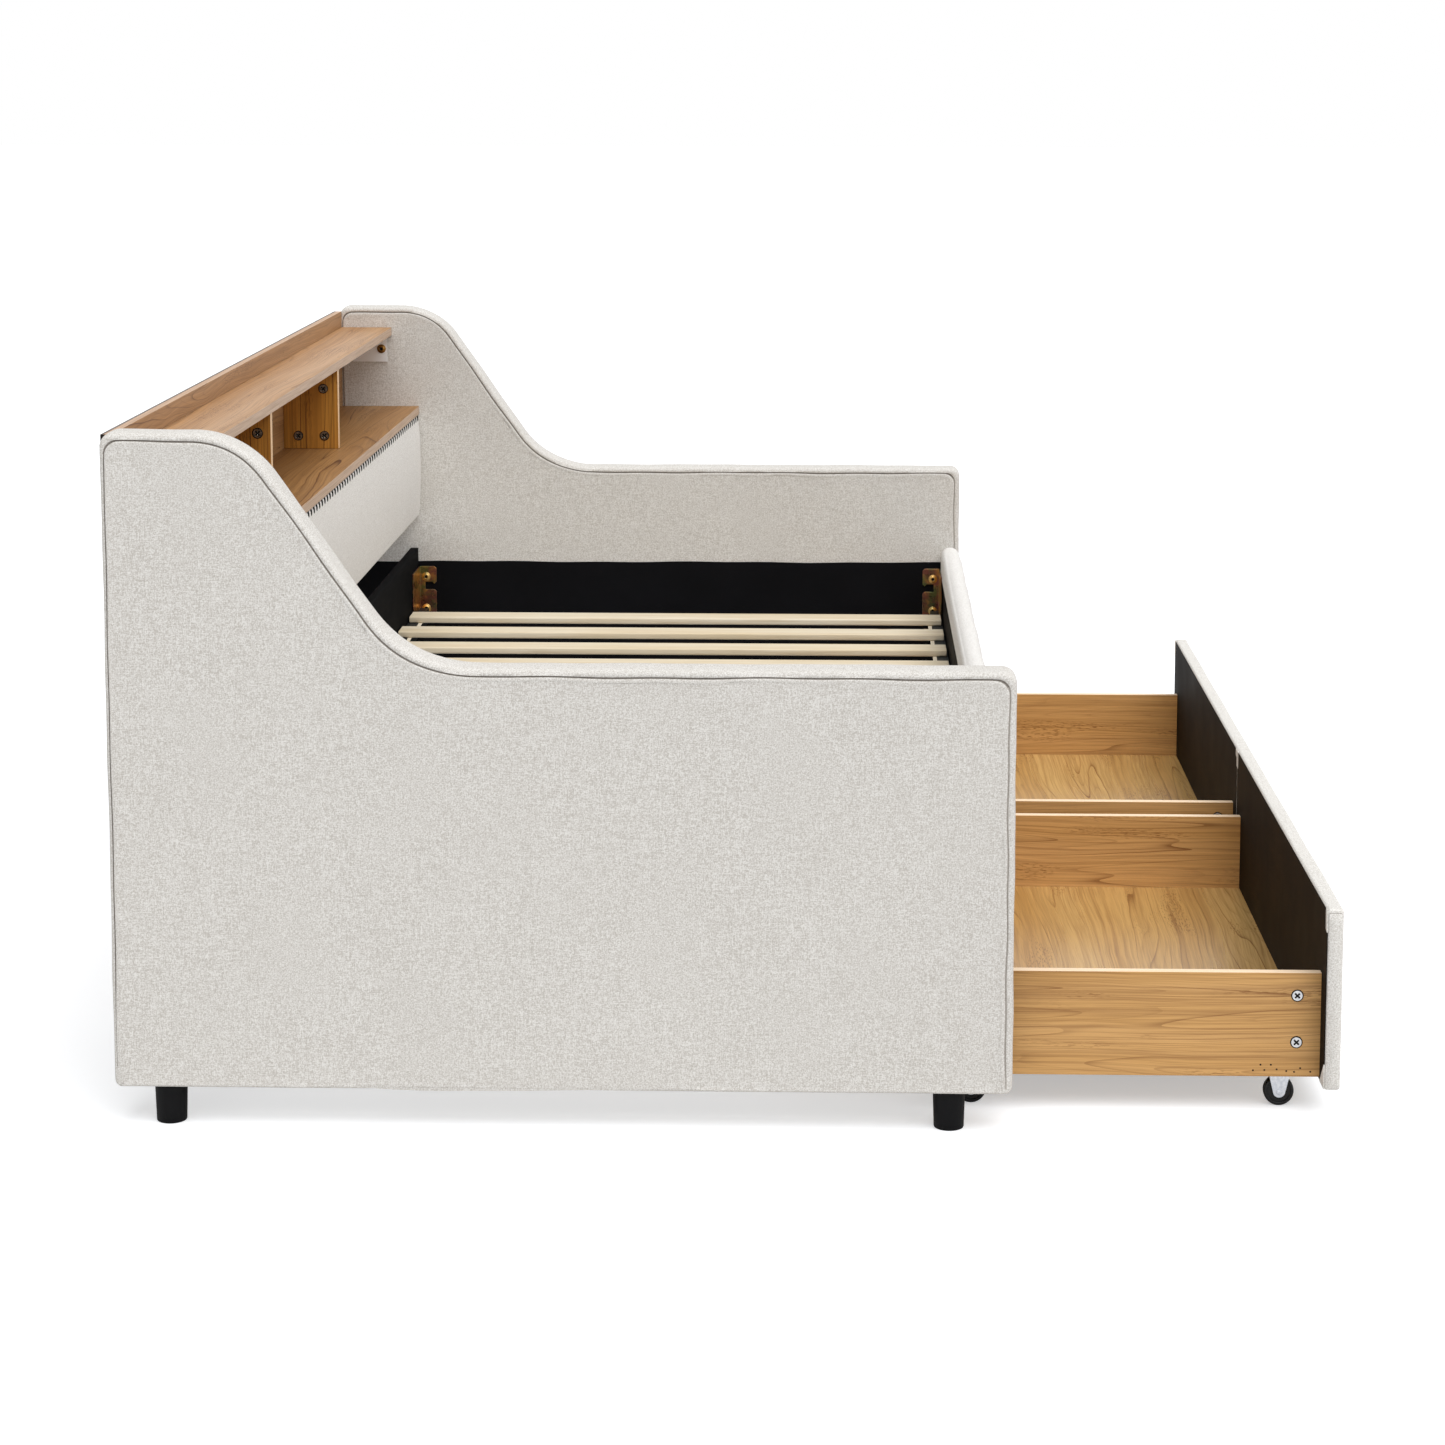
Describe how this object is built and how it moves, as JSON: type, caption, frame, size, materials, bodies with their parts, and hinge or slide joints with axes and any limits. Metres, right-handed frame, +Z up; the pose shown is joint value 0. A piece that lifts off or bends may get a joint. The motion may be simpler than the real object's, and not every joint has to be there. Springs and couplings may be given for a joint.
{
  "type": "storage daybed",
  "caption": "Upholstered daybed for a twin mattress: sloping end arms, slatted base, bookshelf along the back, and storage drawers that roll out on fixed casters.",
  "frame": {"origin": "on the floor, below the middle of the object's box with the drawers drawn out as in the picture", "axes": "+X along the bed, -Y towards the open front where the drawers come out, +Z up"},
  "size_m": [2.08, 1.68, 0.947],
  "materials": {
    "upholstery_fabric": "flat-woven light grey-beige polyester, matt",
    "oak_laminate": "printed oak laminate on particle board, satin",
    "black_lining": "black non-woven cloth over board, matt",
    "pine": "planed unfinished pine",
    "black_plastic": "moulded, satin",
    "yellow_zinc": "yellow-passivated zinc on pressed steel",
    "white_steel": "white painted pressed steel",
    "bright_zinc": "bright zinc plate"
  },
  "bodies": {
    "bed": {"left_arm": "upholstery_fabric", "left_back_leg": "black_plastic", "left_back_corner_bracket": "yellow_zinc", "left_front_leg": "black_plastic", "left_front_corner_bracket": "yellow_zinc", "left_shelf_bracket": "white_steel", "right_arm": "upholstery_fabric", "right_back_leg": "black_plastic", "right_back_corner_bracket": "yellow_zinc", "right_front_leg": "black_plastic", "right_front_corner_bracket": "yellow_zinc", "right_shelf_bracket": "white_steel", "front_rail": "upholstery_fabric", "back_rail": "black_lining", "slat_01": "pine", "slat_02": "pine", "slat_03": "pine", "slat_04": "pine", "slat_05": "pine", "slat_06": "pine", "slat_07": "pine", "slat_08": "pine", "slat_09": "pine", "slat_10": "pine", "slat_11": "pine", "slat_12": "pine", "rear_board": "oak_laminate", "top_shelf": "oak_laminate", "lower_shelf": "oak_laminate", "shelf_divider_1": "oak_laminate", "shelf_divider_2": "oak_laminate", "back_panel": "upholstery_fabric"},
    "left_drawer_left_front_wheel": {"left_drawer_left_front_wheel": "black_plastic"},
    "left_drawer_left_rear_wheel": {"left_drawer_left_rear_wheel": "black_plastic"},
    "left_drawer_right_front_wheel": {"left_drawer_right_front_wheel": "black_plastic"},
    "left_drawer_right_rear_wheel": {"left_drawer_right_rear_wheel": "black_plastic"},
    "left_drawer": {"left_drawer_front": "upholstery_fabric", "left_drawer_left_side": "oak_laminate", "left_drawer_right_side": "oak_laminate", "left_drawer_back": "oak_laminate", "left_drawer_floor": "oak_laminate", "left_drawer_left_front_fork": "bright_zinc", "left_drawer_left_rear_fork": "bright_zinc", "left_drawer_right_front_fork": "bright_zinc", "left_drawer_right_rear_fork": "bright_zinc"},
    "right_drawer_left_front_wheel": {"right_drawer_left_front_wheel": "black_plastic"},
    "right_drawer_left_rear_wheel": {"right_drawer_left_rear_wheel": "black_plastic"},
    "right_drawer_right_front_wheel": {"right_drawer_right_front_wheel": "black_plastic"},
    "right_drawer_right_rear_wheel": {"right_drawer_right_rear_wheel": "black_plastic"},
    "right_drawer": {"right_drawer_front": "upholstery_fabric", "right_drawer_left_side": "oak_laminate", "right_drawer_right_side": "oak_laminate", "right_drawer_back": "oak_laminate", "right_drawer_floor": "oak_laminate", "right_drawer_left_front_fork": "bright_zinc", "right_drawer_left_rear_fork": "bright_zinc", "right_drawer_right_front_fork": "bright_zinc", "right_drawer_right_rear_fork": "bright_zinc"}
  },
  "joints": [
    {"name": "left_drawer_slide", "type": "slide", "parent": "bed", "child": "left_drawer", "axis": [0, -1, 0], "range_m": [-0.449, 0.1]},
    {"name": "left_drawer_left_front_roll", "type": "hinge", "parent": "left_drawer", "child": "left_drawer_left_front_wheel", "pos_m": [-0.9072, -0.7657, 0.021], "axis": [1, 0, 0], "continuous": true},
    {"name": "left_drawer_left_rear_roll", "type": "hinge", "parent": "left_drawer", "child": "left_drawer_left_rear_wheel", "pos_m": [-0.9072, -0.34, 0.021], "axis": [1, 0, 0], "continuous": true},
    {"name": "left_drawer_right_front_roll", "type": "hinge", "parent": "left_drawer", "child": "left_drawer_right_front_wheel", "pos_m": [-0.0708, -0.7657, 0.021], "axis": [1, 0, 0], "continuous": true},
    {"name": "left_drawer_right_rear_roll", "type": "hinge", "parent": "left_drawer", "child": "left_drawer_right_rear_wheel", "pos_m": [-0.0708, -0.34, 0.021], "axis": [1, 0, 0], "continuous": true},
    {"name": "right_drawer_slide", "type": "slide", "parent": "bed", "child": "right_drawer", "axis": [0, -1, 0], "range_m": [-0.449, 0.1]},
    {"name": "right_drawer_left_front_roll", "type": "hinge", "parent": "right_drawer", "child": "right_drawer_left_front_wheel", "pos_m": [0.0708, -0.7657, 0.021], "axis": [1, 0, 0], "continuous": true},
    {"name": "right_drawer_left_rear_roll", "type": "hinge", "parent": "right_drawer", "child": "right_drawer_left_rear_wheel", "pos_m": [0.0708, -0.34, 0.021], "axis": [1, 0, 0], "continuous": true},
    {"name": "right_drawer_right_front_roll", "type": "hinge", "parent": "right_drawer", "child": "right_drawer_right_front_wheel", "pos_m": [0.9072, -0.7657, 0.021], "axis": [1, 0, 0], "continuous": true},
    {"name": "right_drawer_right_rear_roll", "type": "hinge", "parent": "right_drawer", "child": "right_drawer_right_rear_wheel", "pos_m": [0.9072, -0.34, 0.021], "axis": [1, 0, 0], "continuous": true}
  ],
  "couplings": [
    {"joint": "left_drawer_left_front_roll", "follows": "left_drawer_slide", "rad_per_m": 47.619},
    {"joint": "left_drawer_left_rear_roll", "follows": "left_drawer_slide", "rad_per_m": 47.619},
    {"joint": "left_drawer_right_front_roll", "follows": "left_drawer_slide", "rad_per_m": 47.619},
    {"joint": "left_drawer_right_rear_roll", "follows": "left_drawer_slide", "rad_per_m": 47.619},
    {"joint": "right_drawer_left_front_roll", "follows": "right_drawer_slide", "rad_per_m": 47.619},
    {"joint": "right_drawer_left_rear_roll", "follows": "right_drawer_slide", "rad_per_m": 47.619},
    {"joint": "right_drawer_right_front_roll", "follows": "right_drawer_slide", "rad_per_m": 47.619},
    {"joint": "right_drawer_right_rear_roll", "follows": "right_drawer_slide", "rad_per_m": 47.619}
  ]
}
